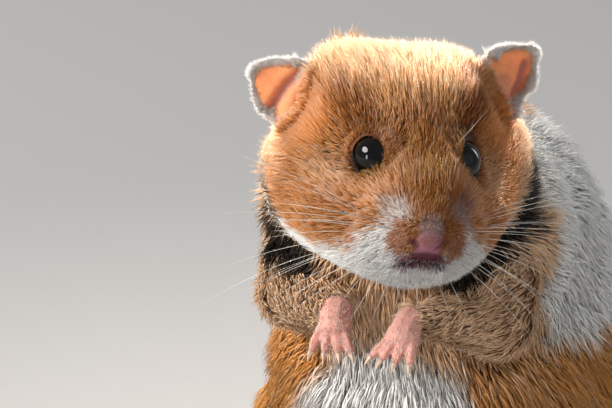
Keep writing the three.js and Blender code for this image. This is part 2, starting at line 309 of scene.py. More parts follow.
def ramp(values, low, high):
    """Rises smoothly from 0 at the low value to 1 at the high one."""
    t = np.clip((values - low) / (high - low), 0, 1)
    return t * t * (3 - 2 * t)


# On the face the coat is shortest at the nose and lids and fullest on the crown and cheeks. It
# stands up at the crown's corners, in front of the ears, and lies flat on the nape.
fullness = ramp(head_spots[:, 1], -6, 12) * ramp(nose_gap, 6, 18) * on_head
fullness = spread(fullness * (1 - part_of("ear")), 8)
bare = ramp(eye_gap, 0.6, 4.5) * ramp(nose_gap, 2.4, 8)
bare = 1 - (1 - bare) * on_head
depth = depth * (0.12 + 0.88 * bare) + 1.5 * fullness
width = width * (0.6 + 0.4 * bare)
corners = np.exp(-(np.linalg.norm(sided - [11.5, 13, 5], axis=1) / 4) ** 2) * on_head
nape = ramp(head_spots[:, 1], 11, 17) * on_head
length = (length * (0.3 + 0.7 * bare) + 2.2 * fullness + corners) * (1 - 0.2 * nape)
by_lid = on_head * (1 - ramp(eye_gap, 0.3, 3.2))
root_lift = root_lift * (1 - 0.5 * by_lid) + 6 * fullness + 8 * corners - 10 * nape
tip_lift = tip_lift + 2 * fullness + 14 * corners - 20 * nape

# Thin parts and lids keep their form while the rest of the hide is smoothed.
FIRMEST = 1.15
firm = part_of("ear", "nose", "tail") + FIRMEST * part_of("foot", "paw") + (eye_gap < 1.6) * on_head
firm = np.clip(firm, 0, FIRMEST)
points = spread(points, 10, 0.5 - 0.38 * firm)
hide_normals = unit(spread(normals_of(points, hide_triangles), 4))
drawn_in = (depth + swelled_by * 0.8) * np.maximum(ramp(eye_gap, 0.3, 1.5), 1 - on_head)
points = points - hide_normals * drawn_in[:, None]
points = spread(points, 3, 0.4 - 0.33 * firm)

# The lids close on the eyeball in a thin, even edge, and the skin inside them lies behind it.
head_spots = in_head(points)
is_left = head_spots[:, 0] > 0
far, spokes, past_lid = round_eye(head_spots)
beside = (far < EYE_RADIUS + LID_REACH) & (past_lid < 18) & (on_head > 0)
at_edge = np.abs(past_lid) < 2.0
lifted = np.maximum(far, EYE_RADIUS + LID_EDGE + 0.12 * ramp(past_lid, 0, 5))
outside = lifted + (EYE_RADIUS + LID_EDGE + 0.1 - lifted) * (1 - ramp(past_lid, 1, 15))
behind_ball = np.minimum(far, EYE_RADIUS - 0.3)
set_far = np.where(at_edge, EYE_RADIUS + LID_EDGE, np.where(past_lid < 0, behind_ball, outside))
settled = from_eye(set_far, spokes, np.where(at_edge, 0, past_lid), is_left)
points[beside] = out_of_head(settled)[beside]
eye_gap = far - EYE_RADIUS
spokes[:, 0] *= np.where(is_left, 1, -1)
spokes = spokes @ head_axes.T

# Each claw is rooted in its digit: the skin is drawn out over the claw's base.
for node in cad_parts:
    if "claw" in node:
        foot = middle(node.split("_")[0] + ("_forepaw" if "fore" in node else "_hind_foot"))
        spots, _ = solid_of(node)
        spots = spots[np.argsort(np.linalg.norm(spots - foot, axis=1))]
        base, way = spots[:5].mean(0), unit(spots[-1] - spots[0])
        close = np.exp(-(np.linalg.norm(points - base, axis=1) / 0.8) ** 2)
        points = points + way * (0.5 * close)[:, None]

# THE EARS are thin leaves of skin, almost bare and creased where the animal folds them, with a
# fringe of fine white hair round the rim. Both creases are pressed right through the leaf.
EAR_CREASE = {
    "left": [(0.2, 2.8), (2.2, 0.8), (4.2, -1.6)],
    "right": [(-3.6, -1.8), (-0.7, -0.9), (2.2, -0.7), (5.0, -0.8)],
}
EAR_ROOT = np.array([0, -2])        # where the rim's rounds are taken from, in the ear's plane


def from_line(spots, path):
    """How far each place is from a line of places."""
    path = np.array(path, float)
    best = np.full(len(spots), 1e9)
    for start, end in zip(path[:-1], path[1:]):
        run = end - start
        t = np.clip((spots - start) @ run / (run @ run), 0, 1)
        best = np.minimum(best, np.linalg.norm(spots - start - t[:, None] * run, axis=1))
    return best


def ear_axes(side):
    """An ear's middle, and its directions outwards, into the hollow and out to the tip."""
    spots, _ = solid_of(side + "_ear")
    centre = spots.mean(0)
    _, _, ways = np.linalg.svd(spots - centre)
    hollow = ways[2] * np.sign(ways[2] @ (head_axes @ [0, -1, 0]))
    tip = centre - out_of_head([0, 9, -5])
    tip = unit(tip - (tip @ hollow) * hollow)
    out = np.cross(tip, hollow) * (1 if side == "left" else -1)
    return centre, out, hollow, tip


skull_finder = KDTree(len(points))
for k in np.nonzero(part_of("head"))[0][::3].tolist():
    skull_finder.insert(points[k], k)
skull_finder.balance()
off_skull = np.zeros(len(points))
for k in np.nonzero(part_of("ear"))[0].tolist():
    off_skull[k] = skull_finder.find(points[k])[2]
ear_inside, ear_outside, ear_rim, ear_fold = np.zeros((4, len(points)))
ear_ways = np.zeros_like(points)
for side in ("left", "right"):
    centre, out, hollow, tip = ear_axes(side)
    leaf = part_of(side + "_ear")
    flat_axes = np.stack([out, tip], 1)
    spots = (points - centre) @ flat_axes - EAR_ROOT
    outline = (solid_of(side + "_ear")[0] - centre) @ flat_axes - EAR_ROOT
    turns = np.arctan2(outline[:, 1], outline[:, 0])
    stations = np.linspace(-math.pi, math.pi, 25)
    reach = [np.linalg.norm(outline[np.abs(turns - t) < 0.2], axis=1).max(initial=3) for t in stations]
    edge = np.interp(np.arctan2(spots[:, 1], spots[:, 0]), stations, reach)
    share = np.linalg.norm(spots, axis=1) / edge
    facing = hide_normals @ hollow
    rim = leaf * ramp(share, 0.80, 0.93) * ramp(off_skull, 1.0, 2.6)
    ear_rim += rim
    ear_inside += leaf * ramp(facing, -0.2, 0.4) * (1 - 0.7 * rim)
    ear_outside += leaf * ramp(-facing, -0.2, 0.4)
    crease = leaf * np.exp(-(from_line(spots + EAR_ROOT, EAR_CREASE[side]) / 0.8) ** 2)
    ear_fold += crease
    off_front = np.linalg.norm(points - centre - hollow * 2 + tip * 4.5, axis=1)
    before = (1 - leaf) * np.exp(-(off_front / 4.2) ** 2)
    length = length * (1 - 0.6 * before)
    points = points - hollow * (0.85 * crease)[:, None] - hide_normals * (0.4 * before)[:, None]
    ear_ways += leaf[:, None] * (tip + (unit(spots) @ flat_axes.T) * (0.3 + 1.5 * rim)[:, None])
length = length + 0.9 * ear_rim - 0.5 * ear_inside
ear_zones = np.stack([ear_inside, ear_outside, ear_rim, ear_fold], 1)
ear_inside, ear_outside, ear_rim, ear_fold = spread(ear_zones, 1).T


# THE NOSE AND MOUTH. Two comma-shaped nostrils, the cleft that runs down from between them, and
# the closed lips are pressed into the hide as soft furrows, as a taxidermist tucks them.
def furrow(path, deep, wide):
    """Presses a furrow into the hide along a line of places in the head's axes."""
    global points
    pressed = deep * np.exp(-(from_line(in_head(points), path) / wide) ** 2)
    points = points - hide_normals * pressed[:, None]


NOSTRIL = [(0.75, -14.0, -6.3), (1.5, -13.3, -6.1), (2.1, -12.5, -5.3)]
for side in (1, -1):
    furrow([(side * x, y, z) for x, y, z in NOSTRIL], 0.7, 0.4)
    furrow([(0, -13.2, -8.5), (side * 1.5, -12.8, -9.0), (side * 2.7, -12.2, -9.4)], 0.8, 0.5)
furrow([(0, -14.2, -6.4), (0, -13.8, -7.4), (0, -13.2, -8.6)], 0.5, 0.32)


# THE UNWRAP. The hide is cut into flat patches, and every tuft of the coat takes its own small
# spot on them where its root stands.
hide_mesh = mesh_of("hide", points, hide_triangles)
hide_mesh.uv_layers.new(name="OFBake")
hide = bpy.data.objects.new("hide", hide_mesh)
bpy.context.scene.collection.objects.link(hide)
bpy.context.view_layer.objects.active = hide
hide.select_set(True)
bpy.ops.object.mode_set(mode="EDIT")
bpy.ops.mesh.select_all(action="SELECT")
bpy.ops.uv.smart_project(angle_limit=math.radians(66), island_margin=0.0015)
bpy.ops.object.mode_set(mode="OBJECT")
corner_flat = np.empty(6 * len(hide_triangles), np.float32)
hide_mesh.uv_layers["OFBake"].uv.foreach_get("vector", corner_flat)
corner_flat = corner_flat.reshape(-1, 3, 2)


# THE MARKINGS of a golden banded Syrian hamster: golden head, shoulders and rump, a white band
# round the middle, white muzzle, throat and belly, a black flash behind each cheek, and pink
# nose, ears and feet. Hide and coat are both painted from this one recipe. Painted light and shade
# lie over the markings: a paler crown top, darker lower cheeks, a darker brow by the animal's left
# eye, brighter fur before the ears, and greyed patches beside the nose.
def tint(code):
    """A colour given as sRGB hex, in linear light."""
    part = np.array([int(code[k:k + 2], 16) for k in (1, 3, 5)]) / 255
    return np.where(part <= 0.04045, part / 12.92, ((part + 0.055) / 1.055) ** 2.4)


LATTICE = 32
lattice = np.random.default_rng(11).random((LATTICE,) * 3)


def drift(places, size):
    """Smooth noise from -1 to 1, with lumps of about this size in mm."""
    scaled = places / size + 400
    cell = np.floor(scaled).astype(int)
    part = scaled - cell
    part = part * part * (3 - 2 * part)
    total = np.zeros(len(places))
    for corner in np.ndindex(2, 2, 2):
        i, j, k = ((cell + corner) % LATTICE).T
        total += lattice[i, j, k] * np.prod(np.where(corner, part, 1 - part), axis=1)
    return total * 2 - 1


def within(spots, centre, radii, blur=0.5):
    """1 inside a ball drawn out to these radii, falling to 0 over the blur beyond it."""
    far = np.linalg.norm((spots - centre) / np.array(radii, float), axis=1)
    return 1 - ramp(far, 1 - blur / 2, 1 + blur / 2)


def near_line(spots, path, reach, blur=0.5):
    """1 within this reach of a line of places, falling to 0 over the blur beyond it."""
    return 1 - ramp(from_line(spots, path) / reach, 1 - blur / 2, 1 + blur / 2)


GOLD, DEEP_GOLD_AND_SHADE, CROWN_HIGHLIGHT_GOLD = tint("#C07A3E"), tint("#863C14"), tint("#DDA062")
CHEST_GOLD, BODY_GOLD = tint("#D8AE88"), tint("#C68848")
WHITE, CREAM, FLASH, RING = tint("#ECE9E4"), tint("#EBDDC6"), tint("#26221F"), tint("#2A1D16")
PINK, NOSE_PINK, LIP_AND_SHADE = tint("#D59C8E"), tint("#98626C"), tint("#5A2833")
EAR_SKIN_AND_GLOW, EAR_MOTTLE_AND_CREASE_SHADE, EAR_HAIR = tint("#FCA670"), tint("#86606C"), tint("#DC8240")


def markings_and_painted_light(places, bare_parts):
    """The coat's colour at these places, in linear light: the markings, with painted light and shade laid
    over them.
    """
    ear_in, ear_out, feet, head_part = bare_parts.T

    def wander(size, reach):
        return np.stack([drift(places + k * 37, size) for k in range(3)], 1) * reach

    side = mirrored(in_head(places + wander(4.0, 0.8) + wander(1.7, 0.45)))
    head = in_head(places)
    x, y, z = side.T
    colour = np.tile(BODY_GOLD, (len(places), 1))

    def lay(paint, amount):
        nonlocal colour
        colour = colour + (paint - colour) * amount[:, None]

    # the body: golden shoulders, chest and rump, with the white band and belly between them
    body = places + wander(14.0, 3.5) + wander(5.0, 1.6)
    world_x, world_y, world_z = body.T
    lay(CHEST_GOLD, ramp(-world_y, -6, 6) * ramp(world_z, 34, 44))
    lay(WHITE, ramp(world_z, 38, 42) * (1 - ramp(world_z, 72, 76)) * ramp(world_y, -9, -5))
    lay(WHITE, within(body, [0, -20, 20], [17, 17, 21], 0.3))
    on_skull = head_part * (1 - ramp(np.linalg.norm(head - [0, 3, -6], axis=1), 19, 29))
    lay(GOLD, on_skull)
    # painted highlight: the top of the crown is laid paler gold, and cream at its very top, rising with
    # height, for the light from behind that falls on it
    lay(CROWN_HIGHLIGHT_GOLD, on_skull * ramp(z + 0.25 * y, 4, 11) * 0.85)
    lay(CREAM, on_skull * ramp(z + 0.25 * y, 10, 14) * 0.2)
    lay(DEEP_GOLD_AND_SHADE, near_line(side, [(0, -12, -2.4), (0, -4, 3), (0, 2, 5.6)], 3.4, 1.2) * 0.8)
    lay(DEEP_GOLD_AND_SHADE, near_line(side, [(8.5, 4, 3.8), (11, 8, 5.2)], 3.0, 1.2) * 0.6)
    # painted shade: the lower cheeks, where they turn under, are laid darker
    lay(DEEP_GOLD_AND_SHADE, within(side, [12.8, -5.2, -7.8], [4.0, 4.0, 3.4], 1.0) * 0.6)
    # painted shade: a darker streak from the animal's left eye up towards its ear, on the shaded side of
    # the face only
    lay(DEEP_GOLD_AND_SHADE, near_line(head, [(9.3, 10.8, 7.7), (8.8, 6.4, 6.3), (7.9, 3.7, 4.7)], 2.6, 1.0) * 0.6)
    lay(tint("#DCAE86"), within(side, [13.0, 0.6, -3.0], [3.6, 4.2, 3.4], 1.0) * 0.4)
    # painted light: the fur before each ear is laid a bright orange to lift the shade in the hollow there
    # and to stand for the glow of the ear's lower lobe
    lay(tint("#EE9652"), within(side, [15.2, 10.4, 0.4], [3.6, 4.2, 5.0], 0.8) * on_skull * 0.9)
    # the white of the muzzle, cheek pouches and throat, below a line that dips towards the ear, and
    # the brown pads and golden edges that lie on it, with painted shade on the pale patches beside the nose
    edge = np.interp(x, [0, 2.8, 3.7, 4.6, 5.6, 6.5, 7.6, 9.3, 11.8, 13.1, 15, 21],
                     [-8.6, -8.0, -2.6, -0.4, -0.8, -3.4, -5.6, -7.6, -11.0, -13.0, -14.0, -15.5])
    lay(WHITE, (1 - ramp(z - edge, -1.2, 1.2)) * (1 - ramp(y, 8, 13)) * on_skull)
    # painted shade: the pale patch beside each side of the nose is laid pinkish grey, as white hair in
    # shade
    lay(tint("#BDA79E"), within(side, [5.6, -9.0, -2.4], [2.6, 3.4, 3.0], 0.8) * 0.75)
    # painted shade: the pale patch beside the nose on the animal's left, the shaded side, is darkened
    # further
    lay(DEEP_GOLD_AND_SHADE, within(head, [4.9, -9.0, -1.6], [2.8, 3.4, 3.2], 0.6) * 0.65)
    lay(tint("#A2561C"), within(side, [4.2, -11.9, -5.2], [2.4, 2.7, 3.1], 0.4) * 0.95)
    # the black flash behind each cheek and the one before each shoulder
    behind_cheek = [(19.0, 9.6, -11), (18.6, 6.8, -13.5), (17, 5.6, -16), (13.5, 6.6, -19)]
    before_shoulder = [(21, -9, 75), (21, -12.5, 66), (19, -16, 61), (13, -20, 58)]
    lay(FLASH, near_line(side, behind_cheek, 2.2, 0.7))
    lay(FLASH, near_line(mirrored(body), before_shoulder, 4.0, 0.5))
    lay(tint("#B29488"), within(side, [0, -12.4, -3.4], [1.9, 2.2, 2.3], 0.8) * 0.8)
    # painted shade: the hair along the line of the lips is laid dark maroon for the shade of the mouth's
    # cleft
    lay(LIP_AND_SHADE * 1.3, near_line(side, [(0, -13.4, -8.0), (1.4, -13.0, -8.5), (2.4, -12.6, -9.0)], 1.6, 0.9))
    # the dark ring round each eye, and the deeper gold about it, with painted shade above the animal's left
    # eye
    far_off, _, past = round_eye(head)
    lay(RING, (1 - ramp(past, 1, 11)) * (1 - ramp(far_off - EYE_RADIUS, 0.9, 2.0)) * 0.9)
    lay(DEEP_GOLD_AND_SHADE, (1 - ramp(past, 8, 34)) * (1 - ramp(far_off - EYE_RADIUS, 1.4, 2.8)) * 0.6)
    lay(RING, within(side, [7.6, 1.4, 3.4], [2.2, 2.6, 2.0], 1.0) * 0.35)
    # painted shade: a dark patch above the animal's left eye, on the shaded side of the face only
    lay(RING, within(head, [7.2, 2.0, 3.7], [2.0, 2.4, 2.2], 0.8) * 0.5)
    lay(EAR_HAIR, ear_in)
    lay(WHITE, ear_out)
    lay(tint("#E6CDC2"), feet)
    return np.clip(colour, 0.002, 1)


bare_parts = np.stack([
    ear_inside, np.maximum(ear_outside, ear_rim), spread(part_of("paw", "foot", "tail"), 3),
    spread(part_of("head", "nose", "ear", "neck"), 3)], 1)


# Bare skin shows at the nose, lips, lids, ears and soles, over the same markings, with painted shade in the
# ear creases, nostrils and mouth and a painted glow in the ears.
def skin_tones(places):
    """The hide's colour: its markings, and its bare skin where the coat is thin, with painted shade in the
    creases, nostrils and mouth and a painted glow in the ears.
    """
    colour = markings_and_painted_light(places, bare_parts) * 0.6
    head = in_head(places)
    side = mirrored(head)

    def lay(paint, amount):
        nonlocal colour
        colour = colour + (paint - colour) * amount[:, None]

    lay(PINK, spread(part_of("foot", "paw", "tail"), 3))
    # painted glow: the ears' skin is laid a brighter orange than its own, for the light from behind shining
    # through them
    lay(EAR_SKIN_AND_GLOW, spread(part_of("ear"), 2))
    # painted shade: the ears' creases are laid mauve grey; the next line's mottle over the inside is the
    # skin's own
    lay(EAR_MOTTLE_AND_CREASE_SHADE, ear_fold * 0.65)
    lay(EAR_MOTTLE_AND_CREASE_SHADE, ear_inside * ramp(drift(places, 2.6), 0.2, 0.9) * 0.35)
    lay(NOSE_PINK, within(side, [0, -12.8, -5.6], [2.8, 2.6, 2.6], 0.4))
    # the lips' own dark skin, with painted shade of the mouth's cleft, and painted shade in the nostrils
    lay(LIP_AND_SHADE, near_line(side, [(0, -13.4, -8.2), (1.5, -13.0, -8.6), (3.0, -12.2, -9.3)], 1.4, 0.6))
    lay(LIP_AND_SHADE, near_line(side, NOSTRIL, 0.5, 0.8))
    far_off, _, past = round_eye(head)
    lay(RING * 0.1, (1 - ramp(past, 2, 6)) * (1 - ramp(far_off - EYE_RADIUS, 1.0, 2.0)))
    return colour


def carry(mesh, name, values):
    """Writes a number or a colour for each point into the mesh, for its material to read."""
    if values.ndim == 1:
        mesh.attributes.new(name, "FLOAT", "POINT").data.foreach_set("value", values.astype(np.float32))
    else:
        four = np.concatenate([values, np.ones((len(values), 1))], 1).astype(np.float32)
        mesh.attributes.new(name, "FLOAT_COLOR", "POINT").data.foreach_set("color", four.ravel())


def add(tree, kind, settings=(), links=()):
    """Adds a node, sets its values and options by name or socket number, and links what feeds it."""
    node = tree.nodes.new(kind)
    for key, value in dict(settings).items():
        if isinstance(key, int) or key in node.inputs:
            node.inputs[key].default_value = value
        else:
            setattr(node, key, value)
    for key, source in dict(links).items():
        tree.links.new(source, node.inputs[key])
    return node


def fresh(name):
    """A new material with an empty node tree, and its output."""
    material = bpy.data.materials.new(name)
    material.use_nodes = True
    material.node_tree.nodes.clear()
    return material, material.node_tree, material.node_tree.nodes.new("ShaderNodeOutputMaterial")


# Tanned, tinted skin: matt, a little translucent where it is thin, with mottles about 1.1 mm wide
# and pores about 0.4 mm apart, wider than real ones so that they show.
hide_finish, tree, end = fresh("tanned_hide")
paint = add(tree, "ShaderNodeAttribute", {"attribute_name": "coat_colour"})
place = add(tree, "ShaderNodeTexCoord")
mottle = add(tree, "ShaderNodeTexNoise", {"Scale": 0.9 / MM, "Detail": 4},
             {"Vector": place.outputs["Object"]})
blotch = add(tree, "ShaderNodeMapRange", {"To Min": 0.8, "To Max": 1.15},
             {"Value": mottle.outputs["Fac"]})
shade = add(tree, "ShaderNodeVectorMath", {"operation": "SCALE"},
            {0: paint.outputs["Color"], "Scale": blotch.outputs["Result"]})
pores = add(tree, "ShaderNodeTexVoronoi", {"Scale": 2.6 / MM}, {"Vector": place.outputs["Object"]})
relief = add(tree, "ShaderNodeBump", {"Strength": 0.35, "Distance": 0.1 * MM},
             {"Height": pores.outputs["Distance"]})
skin = add(tree, "ShaderNodeBsdfPrincipled", {
    "Roughness": 0.55, "IOR": 1.4, "Specular IOR Level": 0.3, "Subsurface Weight": 0.5,
    "Subsurface Radius": (1.0, 0.45, 0.25), "Subsurface Scale": 1.4 * MM,
}, {"Base Color": shade.outputs[0], "Normal": relief.outputs[0]})
tree.links.new(skin.outputs[0], end.inputs["Surface"])

hide_mesh.materials.append(hide_finish)
hide_normals = normals_of(points, hide_triangles)
carry(hide_mesh, "coat_colour", skin_tones(points))
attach(hide, "root")
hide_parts(*flesh)


# THE LIE OF THE COAT. Hair points away from the nose over the head, back along the body and down
# the limbs to the toes, and parts round the eyes. Each place on the hide starts from the way of
# its own part, and the ways are then evened out into one flow.
def from_to(start, end):
    """The direction from one solid's middle to another's."""
    return unit(middle(end) - middle(start))


trunk_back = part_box("trunk")[1].y / MM
body_line = np.array([
    out_of_head([0, 6, -4]), middle("neck"), middle("chest"), middle("trunk") + [0, 4, 4],
    [0, trunk_back - 6, 14], middle("tail")])
ways = np.zeros_like(points)
best = np.full(len(points), 1e9)
for start, end_place in zip(body_line[:-1], body_line[1:]):
    run = end_place - start
    t = np.clip((points - start) @ run / (run @ run), 0, 1)
    far = np.linalg.norm(points - start - t[:, None] * run, axis=1)
    nearer = far < best
    ways[nearer], best[nearer] = unit(run), far[nearer]
face_way = unit(in_head(points) - [0, -8.5, -5.5]) @ head_axes.T
belongs = part_of("head", "nose")[:, None]
ways = ways * (1 - belongs) + face_way * belongs
for side in ("left", "right"):
    limb_ways = {
        "thigh": unit(middle(side + "_hind_foot") - middle(side + "_thigh") + [0, 4, 0]),
        "hind_foot": np.array([0.0, -1, 0]),
        "foreleg": from_to(side + "_foreleg", side + "_forepaw"),
        "forepaw": from_to(side + "_foreleg", side + "_forepaw"),
    }
    for part, way in limb_ways.items():
        belongs = part_of(f"{side}_{part}")[:, None]
        ways = ways * (1 - belongs) + way * belongs
ways = spread(unit(ways), 30)
leaves = spread(part_of("ear"), 2)[:, None]
ways = unit(ways) * (1 - leaves) + unit(ear_ways) * leaves
ways = unit(ways) + spokes * (1.8 * on_head * (1 - ramp(eye_gap, 0.3, 3.6)))[:, None]
smooth_normals = unit(spread(hide_normals, 6))
ways = unit(ways - (ways * smooth_normals).sum(1, keepdims=True) * smooth_normals)


# THE COAT. Each tuft is a thin lock of hair that rises from the hide, bends over and lies along
# the flow, fullest at its bend; neighbours lean towards a common tip, as combed fur does.
TUFT_POINTS = 5        # root, both sides of the bend, the crest over it, and the tip
TUFT_FACES = np.array([(4, 2, 3), (4, 3, 1), (4, 1, 2), (0, 3, 2), (0, 1, 3), (0, 2, 1)])
ALONG_TUFT = [0, 0.5, 0.5, 0.5, 1.0]
LEADERS = 10        # one tuft in this many is leaned towards by those about it


def locks(root, normal, way, size, wide, lift_root, lift_tip, rng, gather):
    """The points and triangles of a set of tufts, five points and six triangles to each."""
    count = len(root)
    yaw = rng.normal(0, 0.16, count) + 0.35 * drift(root, 5.0) + 0.2 * drift(root + 90, 1.8)
    across = np.cross(way, normal)
    way = way * np.cos(yaw)[:, None] + across * np.sin(yaw)[:, None]
    across = np.cross(way, normal)
    size = size * rng.uniform(0.72, 1.22, count)
    first = np.radians(lift_root + rng.normal(0, 7, count))
    last = np.radians(lift_tip + rng.normal(0, 6, count))

    def step(lift):
        return (way * np.cos(lift)[:, None] + normal * np.sin(lift)[:, None]) * (size / 2)[:, None]

    bend = root + step(first)
    tip = bend + step(last)
    leaders = rng.choice(count, max(count // LEADERS, 1), replace=False)
    finder = KDTree(len(leaders))
    for k, start in enumerate(root[leaders].tolist()):
        finder.insert(start, k)
    finder.balance()
    leader = leaders[[finder.find(p)[1] for p in root.tolist()]]
    pull = tip[leader] - tip
    pull *= np.minimum(1, 0.6 * size / np.maximum(np.linalg.norm(pull, axis=1), 1e-6))[:, None]
    tip = tip + pull * gather
    bend = bend + pull * gather * 0.3
    half = across * (wide * rng.uniform(0.75, 1.25, count) / 2)[:, None]
    crest = bend + normal * (wide * 0.3)[:, None]
    spots = np.stack([root - normal * 0.2, bend + half, bend - half, crest, tip], 1)
    spots[..., 2] = np.maximum(spots[..., 2], 0.05 + rng.random(spots.shape[:2]) * 0.1)
    faces = (np.arange(count)[:, None, None] * TUFT_POINTS + TUFT_FACES).reshape(-1, 3)
    return spots.reshape(-1, 3), faces, np.tile(ALONG_TUFT, count)


def show(name, mesh, material):
    """Puts a piece in the model, riding on its one body."""
    piece = bpy.data.objects.new(name, mesh)
    bpy.context.scene.collection.objects.link(piece)
    mesh.materials.append(material)
    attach(piece, "root")
    return piece


corner_places = points[hide_triangles]
first_side = corner_places[:, 1] - corner_places[:, 0]
second_side = corner_places[:, 2] - corner_places[:, 0]
hide_area = np.linalg.norm(np.cross(first_side, second_side), axis=1) / 2
PATCH = 0.003        # side of a tuft's own spot on the unwrap
PATCH_SHAPE = np.array([(0, 0), (0.5, 0.5), (-0.5, 0.5), (0.05, 0.55), (0, 1)]) - [0, 0.5]


def grow(name, thick, count, seed, material, gather=0.18, widen=1.0, pale_root=0.0, smooth=True):
    """Sows a piece of coat on the hide, as densely as `thick` says, and combs it along the flow."""
    rng = np.random.default_rng(seed)
    chance = hide_area * thick[hide_triangles].mean(1)
    pick = rng.choice(len(hide_triangles), count, p=chance / chance.sum())
    along = rng.random((count, 2))
    along[along.sum(1) > 1] = 1 - along[along.sum(1) > 1]
    share = np.concatenate([1 - along.sum(1, keepdims=True), along], 1)[..., None]

    def at(values):
        held = values[hide_triangles[pick]]
        return (held * share).sum(1) if held.ndim == 3 else (held * share[..., 0]).sum(1)

    root, normal = at(points), unit(at(smooth_normals))
    way = at(ways)
    way = unit(way - (way * normal).sum(1, keepdims=True) * normal)
    spots, faces, along_hair = locks(
        root, normal, way, at(length), at(width) * widen, at(root_lift), at(tip_lift), rng, gather)
    mesh = mesh_of(name, spots, faces, smooth)
    shown = spots.reshape(-1, TUFT_POINTS, 3)
    shown = shown[:, 3] * 0.5 + shown[:, 4] * 0.5
    colour = markings_and_painted_light(shown + rng.normal(0, 0.4, root.shape), at(bare_parts))
    golden = ramp((colour[:, 0] - colour[:, 2]) / colour[:, 0], 0.3, 0.7)
    own = 1 + (rng.random(count) - 0.5) * (0.12 + 0.22 * golden)
    own *= 1 - 0.28 * golden * (rng.random(count) < 0.05)
    colour += (CREAM - colour) * (0.22 * golden * (rng.random(count) < 0.1))[:, None]
    carry(mesh, "coat_colour", np.repeat(np.clip(colour * own[:, None], 0, 1), TUFT_POINTS, 0))
    carry(mesh, "along", np.maximum(along_hair, pale_root))
    flat = (corner_flat[pick] * share).sum(1)
    corners = (flat[:, None] + PATCH * PATCH_SHAPE).reshape(-1, 2)[faces.ravel()]
    mesh.uv_layers.new(name="OFBake").uv.foreach_set("vector", corners.astype(np.float32).ravel())
    return show(name, mesh, material)


def hair_finish(name, through, depth_through):
    """Hair: a scaly, faintly glossy fibre that lets some light through, darker down at its root."""
    material, tree, end = fresh(name)
    paint = add(tree, "ShaderNodeAttribute", {"attribute_name": "coat_colour"})
    along = add(tree, "ShaderNodeAttribute", {"attribute_name": "along"})
    tone = add(tree, "ShaderNodeMapRange", {"From Max": 0.5, "To Min": 0.68, "To Max": 1.0},
               {"Value": along.outputs["Fac"]})
    shade = add(tree, "ShaderNodeVectorMath", {"operation": "SCALE"},
                {0: paint.outputs["Color"], "Scale": tone.outputs[0]})
    hair = add(tree, "ShaderNodeBsdfPrincipled", {
        "Roughness": 0.6, "IOR": 1.5, "Specular IOR Level": 0.08, "Specular Tint": (1.0, 0.85, 0.66, 1),
        "Subsurface Weight": through, "Subsurface Radius": (0.8, 0.78, 0.75),
        "Subsurface Scale": depth_through}, {"Base Color": shade.outputs[0]})
    tree.links.new(hair.outputs[0], end.inputs["Surface"])
    return material


# The coat's own hair, and the paler, more translucent down of the ears.
fur = hair_finish("fur", 0.4, 0.15 * MM)
down = hair_finish("ear_down", 0.5, 0.4 * MM)

head_spots = in_head(points)
sided = mirrored(head_spots)
skull = part_of("head")
# No hair grows on the ball's side of a lid, the nostrils or the lips, and most grows by the lids.
by_lashes = 1 + 1.5 * (1 - ramp(past_lid, 6, 14))
open_skin = np.maximum(ramp(past_lid, -1, 1) * by_lashes, ramp(eye_gap, 1.4, 1.8))
open_skin *= 1 - within(sided, [0, -13.5, -6.9], [2.3, 2.4, 2.1], 0.5)
open_skin *= 1 - near_line(sided, [(0, -13.2, -8.5), (1.5, -12.8, -9.0), (3.0, -12.2, -9.5)], 0.7)
front = 1 - ramp(head_spots[:, 1], 4.0, 6.0)
muzzle = 1 - ramp(nose_gap, 8, 10)
top = ramp(head_spots[:, 2], -3, -1)
left = (head_spots[:, 0] > 0).astype(float)
body_front = 1 - ramp(points[:, 1], 8, 12)
face = (skull + part_of("nose")) * front * open_skin
grow("coat_muzzle", face * muzzle, 26000, 1, fur, widen=0.85)
grow("coat_face", face * (1 - muzzle), 33000, 2, fur)
grow("coat_crown", skull * (1 - front) * top, 28000, 3, fur, gather=0.2)
grow("coat_left_cheek", skull * (1 - front) * (1 - top) * left, 15000, 4, fur, gather=0.2)
grow("coat_right_cheek", skull * (1 - front) * (1 - top) * (1 - left), 15000, 5, fur, gather=0.2)
grow("coat_neck", part_of("neck"), 15000, 6, fur, gather=0.2)
grow("coat_chest", part_of("chest"), 24000, 7, fur, gather=0.2)
grow("coat_back", part_of("trunk") * (1 - body_front), 31000, 8, fur, gather=0.2)
grow("coat_belly", part_of("trunk") * body_front, 16000, 9, fur, gather=0.2)
grow("coat_legs", part_of("thigh", "foreleg") + 0.8 * part_of("paw", "hind_foot"), 28000, 10, fur)
grow("coat_ears", ear_outside + 3.5 * ear_rim, 13000, 11, down, pale_root=1.0, smooth=False)
grow("coat_tail", part_of("tail"), 1200, 12, fur)


# THE EYES. Blown glass eyes of the museum kind: a near-black brown iris, with fibres about 0.45 mm
# wide, under a clear, domed and polished front, set deep enough for the lids to close on them.
eye_glass, tree, end = fresh("black_glass_eye")
place = add(tree, "ShaderNodeTexCoord")
fibres = add(tree, "ShaderNodeTexNoise", {"Scale": 2.2 / MM, "Detail": 3, "Distortion": 0.6},
             {"Vector": place.outputs["Object"]})
iris = add(tree, "ShaderNodeMix", {
    "data_type": "RGBA", 6: (0.001, 0.001, 0.0015, 1), 7: (0.005, 0.003, 0.002, 1),
}, {0: fibres.outputs["Fac"]})
glass = add(tree, "ShaderNodeBsdfPrincipled", {"Roughness": 0.04, "IOR": 1.37},
            {"Base Color": iris.outputs[2]})
tree.links.new(glass.outputs[0], end.inputs["Surface"])
EYE_ROWS, EYE_COLUMNS = 38, 56


